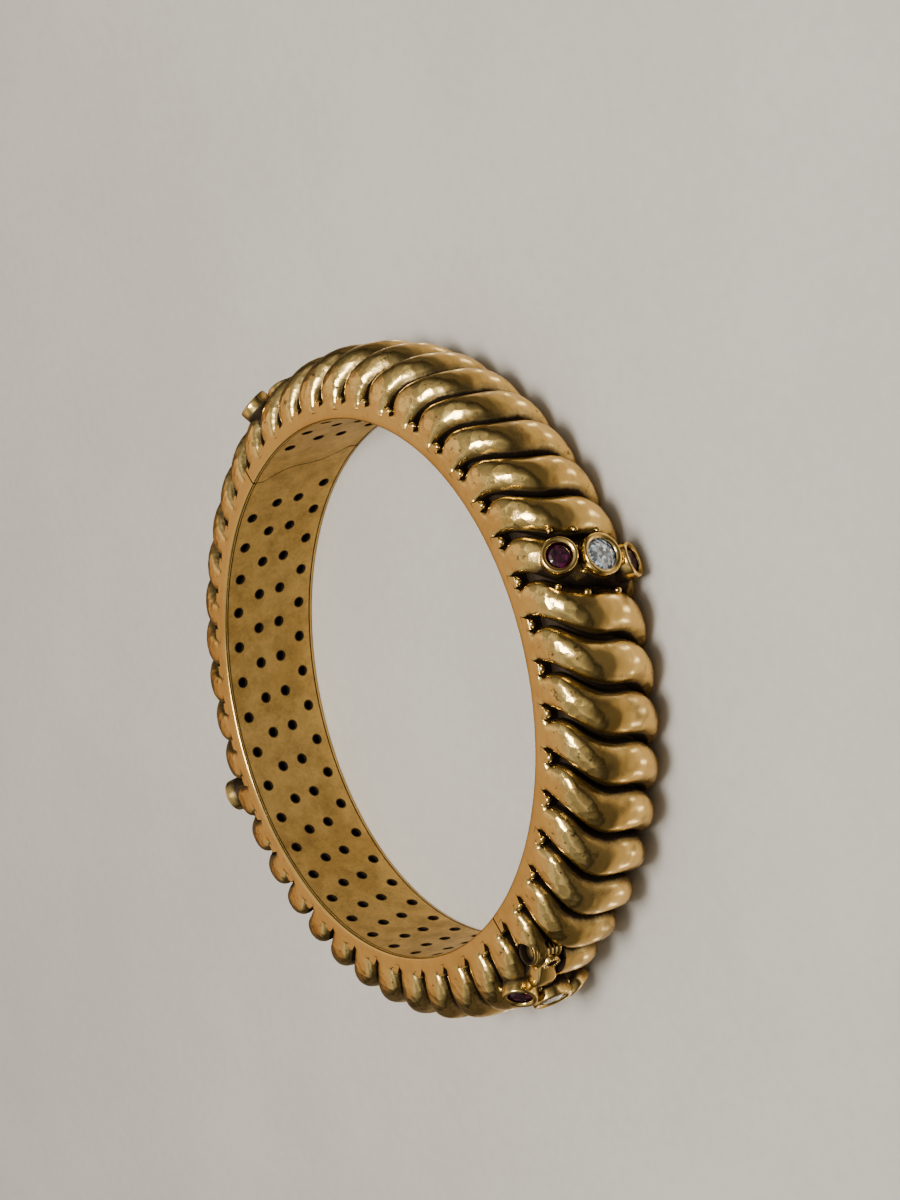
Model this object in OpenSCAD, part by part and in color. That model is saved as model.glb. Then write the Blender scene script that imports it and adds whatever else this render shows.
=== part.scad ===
/* [Band] */
// Inside diameter of the ring, where the wrist goes
wrist_d = 58; // [54:1:62]
// Width of the band along the arm
band_w = 12; // [11.5:0.5:12.5]
// Width of the flat side face, from the wrist hollow out to the rib ends
rim_w = 1.9; // [1.7:0.1:2.1]
// Height of the domed ribs above the side face
dome_h = 5.8; // [5.6:0.1:6]
// Squareness of the dome's cross-section, where 2 is an ellipse
dome_power = 2.55; // [2.4:0.05:2.7]
// Thickness of the sheet metal
sheet_t = 0.8; // [0.7:0.1:0.9]

/* [Ribs] */
// Depth of the grooves at the middle of the band
groove_d = 1.8; // [1.6:0.1:2]
// How far a groove's floor lies in from the side face
groove_inset = 1.1; // [0.9:0.1:1.3]
// Lean of a rib from one side face to the other, in rib widths
rib_lean = 1.23; // [1.1:0.01:1.3]
// How much that lean bends into an S
rib_bend = 2.35; // [1.8:0.05:2.5]
// Facets across one rib
rib_facets = 6; // [4:2:6]

/* [Pierced lining] */
// Rows of holes across the lining
hole_rows = 3; // [2:1:3]
// Diameter of a hole
hole_d = 0.9; // [0.7:0.1:1.1]

/* [Stones] */
// Diameter of a ruby
ruby_d = 2.8; // [2.6:0.1:2.8]
// Diameter of a diamond
diamond_d = 3.5; // [3.3:0.1:3.6]
// Thickness of a bezel's wall
bezel_t = 0.45; // [0.4:0.05:0.45]
// How far a bezel stands above its rib
bezel_h = 1.1; // [1:0.05:1.15]

/* [Hinge and clasp] */
// Distance of the hinge pin from the ring's axis
pin_r = 34.3; // [34.2:0.1:34.4]
// Diameter of the hinge pin
pin_d = 1.1; // [1:0.1:1.2]
// Diameter of the knuckles round the pin
knuckle_d = 2.6; // [2.5:0.1:2.7]
// Gap between the two halves at each seam
seam_gap = 0.24; // [0.2:0.02:0.3]
// Length of the clasp's tongue inside the other half
tongue_l = 3; // [2.6:0.1:3.2]

/* [Hidden] */
half_ribs = 22;
pitch = 180 / half_ribs;
wrist_r = wrist_d / 2;
rim_r = wrist_r + rim_w;
crest_r = rim_r + dome_h;
lining_r = wrist_r + sheet_t;
gap_deg = seam_gap / crest_r * 180 / PI;
// The ribbed block starts a little inside the wrist bore, which trims it round
core_r = wrist_r - 0.6;
// How far a cut runs past the metal
through = 1;
// Bevel between a side face and the rib ends, and the corners of the hollow
bevel = 0.2;
// How far the rib ends stand out from that bevel
rib_foot = 0.05;
// Solid metal that closes each end of a half, in rib widths, and the block that holds the pin
end_block = 0.5;
hinge_block = 1.5;

// Ribs that carry a row of three stones, counted from the hinge
stone_ribs = [9, 21, 31, 43];
// Where the stones sit across the band: 0 at the top side face, 1 at the bottom one
ruby_places = [0.185, 0.815];
diamond_place = 0.51;
// Height of a stone's girdle above its rib, and how deep the stone goes below it, in diameters
girdle_z = 0.5;
stone_depth = 0.3;
stone_gap = 0.05;
// Bezel: how deep its foot is sunk in the rib, the bevel of its edges, and the lip over the stone
bezel_foot = 1.6;
bezel_bevel = 0.2;
lip_w = 0.15;
lip_h = 0.35;

// Hinge: its place round the ring in rib widths, and the heights of the pin and the knuckles
pin_rib = 0.2;
pin_z = [band_w - 7.4, band_w - 1.5];
gate_knuckle = [band_w - 4.5, band_w - 2.3];
top_knuckle = [band_w - 2.1, band_w - 0.8];
play = 0.2;
pin_at = pin_r * [cos(pin_rib * pitch), sin(pin_rib * pitch)];
// Room round the pin where it is held and in the knuckle that turns, and the mouth above it
held_room = 0.1;
turning_room = 0.2;
mouth_d = 1.8;
// The arm of the opening half, seen from the top with the pin at 0, 0
arm = [[-0.9, 0], [-1.2, -6.2], [0.6, -6.2], [1.1, 0]];
// How far the window for that arm reaches to each side of the pin
window_y = [-8, 1.9];
// The round boss on the knuckle and the dimple in it
boss_d = 2;
boss_h = 0.25;
dimple_d = 1.2;
dimple_h = 0.3;

// Clasp: a flat tongue in the middle of the seam across from the hinge
tongue_r = 32.2;
tongue_w = 4;
tongue_t = 1.2;
tongue_root = 1.6;
tongue_fit = 0.03;
clasp_deg = (half_ribs - lean(0.5)) * pitch;
clasp_at = tongue_r * [cos(clasp_deg), sin(clasp_deg)];
// The tongue lies along the arc that it draws round the hinge pin
tongue_deg = atan2(clasp_at[1] - pin_at[1], clasp_at[0] - pin_at[0]);

gems = len(stone_ribs);
rubies = [for (i = [1:2 * gems]) str("ruby_", i)];
diamonds = [for (i = [1:gems]) str("diamond_", i)];

// Stations round the cross-section, from the top side face over the dome to the bottom one
stations = [0, 10, 22, 38, 58, 80, 100, 122, 142, 158, 170, 180];

function signed_pow(x, p) = sign(x) * pow(abs(x), p);
// Radius and height on an arch over the band, at station s
function arch(s, h, half_w, power) =
    [rim_r + h * pow(sin(s), 2 / power), band_w / 2 + half_w * signed_pow(cos(s), 2 / power)];
function crest(s) = arch(s, dome_h, band_w / 2, dome_power);
function groove(s) = arch(s, dome_h - groove_d, band_w / 2 - groove_inset, 2);
function across(z) = 1 - z / band_w;
// How far a rib has leaned back at place v across the band, in rib widths
function lean(v) = rib_lean * v + rib_bend * v * (1 - v) * (1 - 2 * v);
function turned(r, z, deg) = [r * cos(deg), r * sin(deg), z];
// Two triangles for a patch whose corners run clockwise as seen from outside
function patch(a, b, c, d) = [[a, b, c], [a, c, d]];

// One half of the ring as a solid block with ribs; its seams run along two grooves
module ribbed_block(from) {
    n = rib_facets;
    columns = half_ribs * n;
    rows = len(stations) + 2;
    last = rows - 1;
    function station(i) = stations[min(max(i - 1, 0), len(stations) - 1)];
    // The end columns stand half a gap inside the seams
    function deg_at(c, s) =
        (from + c / n - lean(across(crest(s)[1]))) * pitch + gap_deg * (0.5 - c / columns);
    function outer(c, i) =
        let (s = station(i), a = crest(s), b = groove(s), g = sin(180 * (c % n) / n))
        (i == 0 || i == last)
            ? turned(rim_r - bevel, a[1], deg_at(c, s))
            : turned(b[0] + (a[0] - b[0]) * g + rib_foot, b[1] + (a[1] - b[1]) * g, deg_at(c, s));
    // Level with the groove's points, so that the seam's face never folds
    function inner(c, i) =
        let (s = station(i))
        turned(core_r, (i == 0 || i == last) ? crest(s)[1] : groove(s)[1], deg_at(c * n, s));
    function o(c, i) = c * rows + i;
    function m(c, i) = (columns + 1) * rows + c * rows + i;
    points = concat(
        [for (c = [0:columns], i = [0:last]) outer(c, i)],
        [for (c = [0:half_ribs], i = [0:last]) inner(c, i)]);
    dome = [for (c = [0:columns - 1], i = [0:last - 1]) each
        patch(o(c, i), o(c + 1, i), o(c + 1, i + 1), o(c, i + 1))];
    core = [for (c = [0:half_ribs - 1], i = [0:last - 1]) each
        patch(m(c, i), m(c, i + 1), m(c + 1, i + 1), m(c + 1, i))];
    // The side faces, a fan of triangles for each half rib
    fans = [for (c = [0:half_ribs - 1], k = [0:n - 1]) let (a = c * n + k, b = k < n / 2 ? c : c + 1)
        each [[m(b, 0), o(a + 1, 0), o(a, 0)], [m(b, last), o(a, last), o(a + 1, last)]]];
    wedges = [for (c = [0:half_ribs - 1]) let (mid = c * n + n / 2)
        each [[m(c, 0), m(c + 1, 0), o(mid, 0)], [m(c, last), o(mid, last), m(c + 1, last)]]];
    ends = [for (i = [0:last - 1]) each concat(
        patch(m(0, i), o(0, i), o(0, i + 1), m(0, i + 1)),
        patch(m(half_ribs, i), m(half_ribs, i + 1), o(columns, i + 1), o(columns, i)))];
    polyhedron(points = points, faces = concat(dome, core, fans, wedges, ends), convexity = 10);
}

// The hollow inside one half, smooth, a sheet's thickness inside the grooves, from rib start to rib stop
module hollow(start, stop) {
    steps = [12, 30, 50, 72, 90, 108, 130, 150, 168];
    k = len(steps);
    last = k - 1;
    end = half_ribs;
    half_w = band_w / 2 - groove_inset - sheet_t;
    reach = rim_w + dome_h - groove_d - 2 * sheet_t;
    function wall(s) = [lining_r + bevel + (reach - bevel) * sin(s), band_w / 2 + half_w * cos(s)];
    function deg_at(c, s) =
        (start + c * (stop - start) / end - lean(across(wall(s)[1]))) * pitch;
    function o(c, i) = c * k + i;
    function m(c, i) = (end + 1) * k + c * k + i;
    points = concat(
        [for (c = [0:end], s = steps) turned(wall(s)[0], wall(s)[1], deg_at(c, s))],
        [for (c = [0:end], s = steps) turned(lining_r, wall(s)[1], deg_at(c, s))]);
    walls = [for (c = [0:end - 1], i = [0:last - 1]) each concat(
        patch(o(c, i), o(c + 1, i), o(c + 1, i + 1), o(c, i + 1)),
        patch(m(c, i), m(c, i + 1), m(c + 1, i + 1), m(c + 1, i)))];
    edges = [for (c = [0:end - 1]) each concat(
        patch(m(c, 0), m(c + 1, 0), o(c + 1, 0), o(c, 0)),
        patch(o(c, last), o(c + 1, last), m(c + 1, last), m(c, last)))];
    ends = [for (i = [0:last - 1]) each concat(
        patch(m(0, i), o(0, i), o(0, i + 1), m(0, i + 1)),
        patch(o(end, i), m(end, i), m(end, i + 1), o(end, i + 1)))];
    polyhedron(points = points, faces = concat(walls, edges, ends), convexity = 6);
}

// Puts its children on the crest of a rib, at place v across the band, facing outwards
module on_rib(rib, v) {
    side = abs(1 - 2 * v);
    rise = pow(1 - pow(side, dome_power), 1 / dome_power);
    slope = pow(side, dome_power - 1) / (band_w / 2) / (pow(rise, dome_power - 1) / dome_h);
    tilt = sign(1 - 2 * v) * atan(slope);
    rotate([0, 0, (rib + 0.5 - lean(v)) * pitch])
        translate([rim_r + dome_h * rise, 0, band_w * (1 - v)])
            rotate([0, 90 - tilt, 0]) children();
}

// The row of three settings on a rib; its children are drawn for $stone_d and $place
module row_of_three(rib) {
    for (v = ruby_places) on_rib(rib, v) {
        $stone_d = ruby_d;
        children();
    }
    on_rib(rib, diamond_place) {
        $stone_d = diamond_d;
        children();
    }
}

// A round cup that holds a stone, with its foot sunk in the rib
module bezel() {
    r = $stone_d / 2;
    outside = r + bezel_t;
    inside = r + stone_gap;
    rotate_extrude($fn = 48)
        polygon([[0, -bezel_foot], [outside - bezel_bevel, -bezel_foot], [outside, bezel_bevel - bezel_foot],
                 [outside, bezel_h - bezel_bevel], [outside - bezel_bevel, bezel_h], [r - lip_w, bezel_h],
                 [inside, bezel_h - lip_h], [inside, 0], [0, 0]]);
}

// Room for a stone inside its bezel
module cup() {
    bottom = girdle_z - stone_depth * $stone_d - stone_gap;
    translate([0, 0, bottom])
        cylinder(d = $stone_d + 2 * stone_gap, h = girdle_z - bottom, $fn = 48);
}

// A round stone with an eight-sided table, 24 crown facets and 16 below, its girdle at z = 0
module gem(d) {
    table_r = 0.29 * d;
    crown_h = 0.13 * d;
    belt_h = 0.03 * d;
    depth = stone_depth * d;
    half = 8;
    sides = 2 * half;
    step = 360 / sides;
    points = concat(
        [for (i = [0:half - 1]) turned(table_r, crown_h, step * (2 * i + 1))],
        [for (z = [0, -belt_h], i = [0:sides - 1]) turned(d / 2, z, step * i)],
        [[0, 0, -depth]]);
    function t(i) = i % half;
    function g(i) = half + i % sides;
    function b(i) = half + sides + i % sides;
    tip = half + 2 * sides;
    faces = concat(
        [[for (i = [half - 1:-1:0]) i]],
        [for (i = [0:half - 1]) each [[t(i), g(2 * i + 1), g(2 * i)], [t(i), g(2 * i + 2), g(2 * i + 1)],
                                      [t(i), t(i + 1), g(2 * i + 2)]]],
        [for (i = [0:sides - 1]) each patch(g(i), g(i + 1), b(i + 1), b(i))],
        [for (i = [0:sides - 1]) [tip, b(i), b(i + 1)]]);
    polyhedron(points = points, faces = faces);
}

// Drilled rows through the lining, a slanted column of holes for each rib from first to last
module lining_holes(first, last) {
    for (c = [first:last], row = [1:hole_rows]) {
        v = row / (hole_rows + 1);
        rotate([0, 0, (c - lean(v)) * pitch])
            translate([wrist_r - through, 0, band_w * (1 - v)])
                rotate([0, 90, 0]) cylinder(d = hole_d, h = sheet_t + 2 * through, $fn = 24);
    }
}

// One hollow half with its stone settings; its children are soldered on
module half(from, first_block) {
    my_ribs = [for (rib = stone_ribs) if (rib >= from && rib < from + half_ribs) rib];
    to = from + half_ribs;
    difference() {
        union() {
            ribbed_block(from);
            for (rib = my_ribs) row_of_three(rib) bezel();
            children();
        }
        translate([0, 0, -through]) cylinder(r = wrist_r, h = band_w + 2 * through, $fn = 96);
        hollow(from + first_block, to - end_block);
        lining_holes(from + ceil(first_block) + 1, to - 2);
        for (rib = my_ribs) row_of_three(rib) cup();
    }
}

// Puts its children on the hinge pin's axis, with the opening half on the -Y side
module at_hinge() {
    rotate([0, 0, pin_rib * pitch]) translate([pin_r, 0, 0]) children();
}

// Puts its children at the clasp, with the opening half on the +Y side
module at_clasp() {
    translate([clasp_at[0], clasp_at[1], band_w / 2]) rotate([0, 0, tongue_deg]) children();
}

module rod(d, span) {
    translate([0, 0, span[0]]) cylinder(d = d, h = span[1] - span[0], $fn = 48);
}

// The half that stays: it holds the pin, and leaves a window for the other half's knuckle
module fixed_half() {
    floor_x = -knuckle_d / 2 - play;
    window_z = [gate_knuckle[0] - play, gate_knuckle[1] + play];
    clear = crest_r - pin_r + through;
    color("goldenrod") difference() {
        half(0, hinge_block) at_hinge() rod(knuckle_d, top_knuckle);
        at_hinge() {
            translate([floor_x, window_y[0], window_z[0]])
                cube([clear - floor_x, window_y[1] - window_y[0], window_z[1] - window_z[0]]);
            rod(pin_d + held_room, [pin_z[0] - held_room, band_w]);
            rod(mouth_d, [pin_z[1], band_w]);
        }
        at_clasp() translate([-tongue_t / 2 - play, -tongue_l - play, -tongue_w / 2 - play])
            cube([tongue_t + 2 * play, tongue_l + play + through, tongue_w + 2 * play]);
    }
}

// The half that swings out: its arm crosses the seam to a knuckle on the pin
module gate_half() {
    height = gate_knuckle[1] - gate_knuckle[0];
    middle = (gate_knuckle[0] + gate_knuckle[1]) / 2;
    face_x = knuckle_d / 2 + boss_h;
    color("gold") difference() {
        half(half_ribs, end_block) at_hinge() {
            translate([0, 0, gate_knuckle[0]]) linear_extrude(height) union() {
                circle(d = knuckle_d, $fn = 48);
                polygon(arm);
            }
            translate([0, 0, middle]) rotate([0, 90, 0]) cylinder(d = boss_d, h = face_x, $fn = 32);
        }
        at_hinge() {
            rod(pin_d + turning_room, [gate_knuckle[0] - through, gate_knuckle[1] + through]);
            translate([face_x - dimple_h, 0, middle])
                rotate([0, 90, 0]) cylinder(d = dimple_d, h = through, $fn = 32);
        }
        at_clasp() translate([-tongue_t / 2 - tongue_fit, -through, -tongue_w / 2 - tongue_fit])
            cube([tongue_t + 2 * tongue_fit, tongue_root + through + tongue_fit, tongue_w + 2 * tongue_fit]);
    }
}

module hinge_pin() {
    color("khaki") at_hinge() rod(pin_d, pin_z);
}

module clasp_tongue() {
    color("khaki") at_clasp() translate([-tongue_t / 2, -tongue_l, -tongue_w / 2])
        cube([tongue_t, tongue_l + tongue_root, tongue_w]);
}

// Stone i of its kind, counted round the ring from the hinge
module ruby(i) {
    color("darkmagenta") on_rib(stone_ribs[floor((i - 1) / 2)], ruby_places[(i - 1) % 2])
        translate([0, 0, girdle_z]) gem(ruby_d);
}

module diamond(i) {
    color("aliceblue") on_rib(stone_ribs[i - 1], diamond_place)
        translate([0, 0, girdle_z]) gem(diamond_d);
}

fixed_half();
gate_half();
hinge_pin();
clasp_tongue();
for (i = [1:2 * gems]) ruby(i);
for (i = [1:gems]) diamond(i);
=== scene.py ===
"""Looks of a hinged kada bracelet: ribbed gilt band, pierced lining, stone rows, hinge, and the stage"""

import math
from contextlib import contextmanager

import bmesh
import bpy
from mathutils import Matrix, Vector
from mathutils.bvhtree import BVHTree
from mathutils.geometry import tessellate_polygon


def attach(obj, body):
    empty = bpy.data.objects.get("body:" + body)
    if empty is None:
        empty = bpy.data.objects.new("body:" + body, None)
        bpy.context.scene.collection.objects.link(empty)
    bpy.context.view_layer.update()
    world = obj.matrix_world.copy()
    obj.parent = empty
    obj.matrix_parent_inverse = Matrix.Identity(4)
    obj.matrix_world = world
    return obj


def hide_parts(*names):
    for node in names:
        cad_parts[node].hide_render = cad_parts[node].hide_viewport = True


bl_info = {
    "name": "Kada bracelet",
    "version": (1, 0, 0),
    "blender": (4, 5, 0),
    "location": "3D View > Sidebar > Kada",
    "description": "Builds the ribbed metal, the settings, the stones' finish and the stage of a hinged kada",
    "category": "Object",
}

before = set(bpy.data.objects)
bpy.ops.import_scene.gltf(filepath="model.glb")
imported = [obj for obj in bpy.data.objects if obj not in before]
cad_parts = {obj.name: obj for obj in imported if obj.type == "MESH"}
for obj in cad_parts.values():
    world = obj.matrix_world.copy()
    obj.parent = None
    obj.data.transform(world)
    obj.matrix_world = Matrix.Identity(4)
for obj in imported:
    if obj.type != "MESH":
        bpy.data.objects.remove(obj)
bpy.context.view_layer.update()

# Where no comment says otherwise, lengths are in mm and places round the ring in ribs from the hinge's seam.
# Places across the band run from 0 at the top side face to 1 at the bottom one
MM = 0.001
HALF_RIBS = 22
HALVES = {"fixed": 0, "gate": HALF_RIBS}
PITCH = math.pi / HALF_RIBS

# Ribs with a row of three stones, the stones' places, the radii of their seats and the bezels' wall
STONE_RIBS = (9, 21, 31, 43)
RUBY_PLACES = (0.185, 0.815)
DIAMOND_PLACE = 0.51
RUBY_SEAT = 1.4
DIAMOND_SEAT = 1.75
BEZEL_WALL = 0.45

# The hinge pin's distance from the ring's axis and its place round the ring, and the tongue's distance
PIN_RADIUS = 34.3
PIN_RIB = 0.2
CLASP_RADIUS = 32.2

# Patina of a point, kept in this attribute: gilding is bright at 0 and black from about 1.1
PATINA = "tarnish"
IN_GROOVE = 2.6
IN_NOTCH = 2.4
UNDER_TAB = 2.2
ON_FLANK = 2.0
ON_SHOULDER = 1.9

# Points closer than this, in metres, become one
WELD = 0.000003
TREE_WELD = 0.000002


# Settings


def length(name, description, default):
    return bpy.props.FloatProperty(
        name=name, description=description, default=default, min=0.0, precision=5,
        unit="LENGTH", subtype="DISTANCE",
    )


def number(name, description, default, low=0.0, high=1.0, subtype="NONE"):
    return bpy.props.FloatProperty(
        name=name, description=description, default=default, min=low, max=high, subtype=subtype
    )


def colour(name, description, default):
    return bpy.props.FloatVectorProperty(
        name=name, description=description, default=default, size=3, min=0.0, max=1.0, subtype="COLOR"
    )


class KadaBand(bpy.types.PropertyGroup):
    """Sizes of the ribbed band"""

    wrist_radius: length("Wrist radius", "Inside radius of the lining", 0.029)
    rim_radius: length("Rim radius", "Outer radius of the flat side face, where the ribs start", 0.0309)
    dome_height: length("Dome height", "Height of the rib crests above the side face's edge", 0.0058)
    band_width: length("Band width", "Width of the band along the arm", 0.012)
    groove_depth: length("Groove depth", "Depth of the grooves at the middle of the band", 0.0021)
    groove_inset: length("Groove inset", "How far the groove floor lies in from the side face", 0.0015)
    seam_gap: length("Seam gap", "Gap between the two halves at the crest", 0.00024)
    dome_power: number("Dome squareness", "2 is an elliptic section, more is squarer", 2.55, 2.0, 4.0)
    rib_lean: number("Rib lean", "Lean of a rib across the band, in rib widths", 1.23, 0.0, 2.0)
    rib_bend: number("Rib bend", "How much the lean curls near the side faces", 2.35, 0.0, 3.0)
    rib_fullness: number("Rib fullness", "Share of the pitch that a rib takes in mid band", 0.94, 0.5, 0.98)
    mouth_fullness: number("Rib end width", "Share of the pitch that a rib takes at its ends", 0.71, 0.4, 0.9)
    hole_diameter: length("Hole diameter", "Diameter of a hole in the lining", 0.00105)
    hole_rows: bpy.props.IntProperty(
        name="Hole rows", description="Rows of holes across the lining", default=4, min=2, max=5
    )


class KadaFinish(bpy.types.PropertyGroup):
    """Colours of the metal and the stones"""

    gold: colour("Gold", "Colour of the polished gilding", (0.87, 0.635, 0.235))
    gold_deep: colour("Deep gold", "Colour where the gilding is thick", (0.74, 0.51, 0.17))
    gold_dull: colour("Dull gold", "Colour of the dulled gilding beside the grooves", (0.27, 0.20, 0.085))
    tarnish: colour("Tarnish", "Colour of the dark patina in the grooves", (0.032, 0.021, 0.013))
    ruby: colour("Ruby", "Colour of the rubies", (0.06, 0.005, 0.028))
    diamond: colour("Diamond", "Colour of the diamonds", (0.78, 0.86, 0.95))
    polish: number("Polish", "Roughness of the worn crests", 0.16)


class KadaStage(bpy.types.PropertyGroup):
    """Floor, lights and camera"""

    floor: colour("Floor", "Colour of the floor", (0.60, 0.585, 0.56))
    key: number("Key light", "Power of the softbox overhead", 2.2, high=100.0, subtype="POWER")
    sky: number("Sky", "Strength of the soft light from all round", 0.7, high=10.0)
    focal: number("Focal length", "Lens in mm on a 36 mm long side", 78.42, 10.0, 500.0)
    camera_at: bpy.props.FloatVectorProperty(
        name="Camera place", description="Where the camera stands", default=(0.1180, 0.2031, 0.1621),
        unit="LENGTH",
    )


# Shape of the band


def share(low, high, x):
    """How far x has come from low to high, between 0 and 1"""
    return min(max((x - low) / (high - low), 0.0), 1.0)


def smooth(low, high, x):
    t = share(low, high, x)
    return t * t * (3.0 - 2.0 * t)


def signed_power(x, power):
    return math.copysign(abs(x) ** power, x)


def rounded(x, power):
    """Height of a rounded form, 1 in its middle, where x is 0, and 0 at its edge, where x is 1"""
    return (1 - x ** power) ** (1 / power)


def around(r, z, angle):
    return Vector((r * math.cos(angle), r * math.sin(angle), z)) * MM


# How far a groove's floor starts outside the rim
FLOOR_FOOT = 0.35


class Section:
    """The band's cross-section: radius from the ring's axis and height above the bottom side face"""

    def __init__(self, band):
        self.wrist = band.wrist_radius / MM
        self.rim = band.rim_radius / MM
        self.dome = band.dome_height / MM
        self.width = band.band_width / MM
        self.half = self.width / 2
        self.groove = band.groove_depth / MM
        self.inset = band.groove_inset / MM
        self.power = band.dome_power
        self.lean_by, self.bend_by = band.rib_lean, band.rib_bend
        self.full, self.mouth = band.rib_fullness, band.mouth_fullness
        self.hole = band.hole_diameter / MM / 2
        self.hole_rows = band.hole_rows
        self.gap = band.seam_gap / MM / (self.rim + self.dome)
        self.step = (math.pi - self.gap) / HALF_RIBS

    def crest(self, s):
        """Radius and height of a crest at a station in degrees, from 0 at the top side face to 180"""
        a = math.radians(s)
        power = 2 / self.power
        height = self.half + self.half * signed_power(math.cos(a), power)
        return self.rim + self.dome * math.sin(a) ** power, height

    def floor(self, s):
        """Radius and height of a groove's floor at a station"""
        a = math.radians(s)
        reach = self.dome - self.groove - FLOOR_FOOT
        height = self.half + (self.half - self.inset) * math.cos(a)
        return self.rim + FLOOR_FOOT + reach * math.sin(a), height

    def lean_at(self, place):
        """How far a rib has leaned back at a place across the band, in ribs"""
        return self.lean_by * place + self.bend_by * place * (1 - place) * (1 - 2 * place)

    def lean(self, height):
        return self.lean_at(1 - height / self.width)

    def seam_lean(self, z):
        """Lean of a groove's floor, and of the seam's face, at height z"""
        c = min(max((z - self.half) / (self.half - self.inset), -1.0), 1.0)
        return self.lean(self.half + self.half * signed_power(c, 2 / self.power))

    def fullness(self, s):
        """Share of the pitch that a rib takes at a station"""
        return self.mouth + (self.full - self.mouth) * smooth(-6, 34, min(s, 180 - s)) ** 0.8

    def rib_power(self, s):
        """Squareness of a rib's own section at a station"""
        return 3.4 - 1.25 * smooth(0, 45, min(s, 180 - s))


# Lanes across one rib: places from its crest (0) to its edge (1), and from there to the groove's middle
RIB_LANES = (0.0, 0.15, 0.3, 0.45, 0.58, 0.69, 0.78, 0.86, 0.92, 0.965, 1.0)
GROOVE_LANES = (0.06, 0.12, 0.4, 0.6, 0.8, 1.0)
DOME_STATIONS = (2, 4, 7, 11, 16, 22, 29, 36, 44, 52, 60, 68, 76, 84, 90)
# The side face from the lining outwards: radius and drop below the face
LINING_RADIUS = 29.0
FACE_ROWS = (
    (LINING_RADIUS, 0.30), (29.03, 0.14), (29.12, 0.04), (29.28, 0.0), (29.7, 0.0), (30.01, 0.0),
    (30.05, 0.0), (30.12, 0.0), (30.26, 0.0), (30.44, 0.0), (30.49, 0.0), (30.57, 0.0), (30.7, 0.0),
    (30.85, 0.0), (30.98, 0.0),
)
# The tab's rounded end: the rib's radius there, the tab's radius and its drop
TAB_ROWS = ((31.04, 31.03, 0.03), (31.08, 31.08, 0.14), (31.12, 31.10, 0.5), (31.16, 31.10, None))
# The two notches beside a tab: the tip's radius, and its place from the rib's crest to the groove's middle
NOTCHES = ((30.06, 0.50), (30.5, 0.76))
# Where a notch ends, how it widens, its width at the tip, the lip along it, and the tab's edge at its end
NOTCH_MOUTH = 31.0
NOTCH_FLARE = 0.9
NOTCH_TIP = 0.012
NOTCH_LIP = 0.06
TAB_EDGE = 0.775
# The wall behind the ribs: thickness of the side faces, and the radius and heights of its rows of points
FACE_THICKNESS = 0.46
WALL_RADIUS = 30.0
WALL_HEIGHTS = (2.5, 4.3, 6.0, 7.7, 9.5)


def face_row(sec, r, drop, tab_r, tab_drop):
    """One row of a side face from groove middle to groove middle: (lane place, radius, drop, patina)"""
    sides = []
    power = sec.rib_power(0)
    for sign, (tip_r, tip) in zip((-1, 1), NOTCHES):
        t = share(tip_r, NOTCH_MOUTH, r)
        edge = tip + (sec.mouth - tip) * t ** NOTCH_FLARE
        tab = tip + NOTCH_TIP + (TAB_EDGE - tip - NOTCH_TIP) * t ** NOTCH_FLARE
        rounding = smooth(0.25, 1.0, t) * sec.inset * 0.9
        low = max(drop, sec.inset) if t > 0 else drop
        lip = NOTCH_LIP if t > 0 else 0.0
        side = []
        for lane in RIB_LANES:
            fall = (1 - rounded(lane, power)) * rounding
            side.append((sign * edge * lane, r, drop + fall, ON_SHOULDER * smooth(0.25, 0.8, fall)))
        end = tab_drop if tab_drop is not None else sec.inset
        dark = IN_NOTCH if r > tip_r - 0.02 else 0.0
        notch = ((0.1, min(drop + rounding + lip, low)), (0.3, low), (0.7, low), (0.9, min(end + lip, low)))
        for part, down in notch:
            side.append((sign * (edge + (tab - edge) * part), r, max(down, drop), dark))
        dark = UNDER_TAB * smooth(0.1, 0.5, end - drop)
        side += [(sign * tab, tab_r, end, dark), (sign * 1.0, tab_r, end, dark)]
        sides.append(side)
    return sides[0][::-1] + sides[1][1:]


def dome_row(sec, s):
    """One row of the dome: (lane place, radius, height, patina)"""
    (rc, zc), (rf, zf) = sec.crest(s), sec.floor(s)
    full, power = sec.fullness(s), sec.rib_power(s)
    side = []
    for lane in RIB_LANES:
        up = rounded(lane, power)
        side.append((full * lane, rf + (rc - rf) * up, zf + (zc - zf) * up, ON_FLANK * (1 - up)))
    side += [(full + (1 - full) * part, rf, zf, IN_GROOVE) for part in GROOVE_LANES]
    return [(-x, r, z, p) for x, r, z, p in reversed(side)] + side[1:]


def band_rows(sec):
    """Rows round one rib's section, each a list of (lane place, radius, height, patina) with its lean"""
    top = [face_row(sec, r, drop, r, drop) for r, drop in FACE_ROWS]
    top += [face_row(sec, r, 0.0, tab_r, drop) for r, tab_r, drop in TAB_ROWS]
    rows = [([(x, r, sec.width - d, p) for x, r, d, p in row], 0.0) for row in top]
    stations = list(DOME_STATIONS) + [180 - s for s in reversed(DOME_STATIONS[:-1])]
    rows += [(dome_row(sec, s), sec.lean(sec.crest(s)[1])) for s in stations]
    rows += [([(-x, r, d, p) for x, r, d, p in reversed(row)], sec.lean(0.0)) for row in reversed(top)]
    low, high = FACE_THICKNESS, sec.width - FACE_THICKNESS
    wall = [(WALL_RADIUS, z) for z in (low, *WALL_HEIGHTS, high)]
    wall = [(LINING_RADIUS, low), *wall, (LINING_RADIUS, high)]
    places = [x for x, _r, _z, _p in rows[-1][0]]
    rows += [([(x, r, z, IN_GROOVE) for x in places], sec.seam_lean(z)) for r, z in wall]
    return rows


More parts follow.
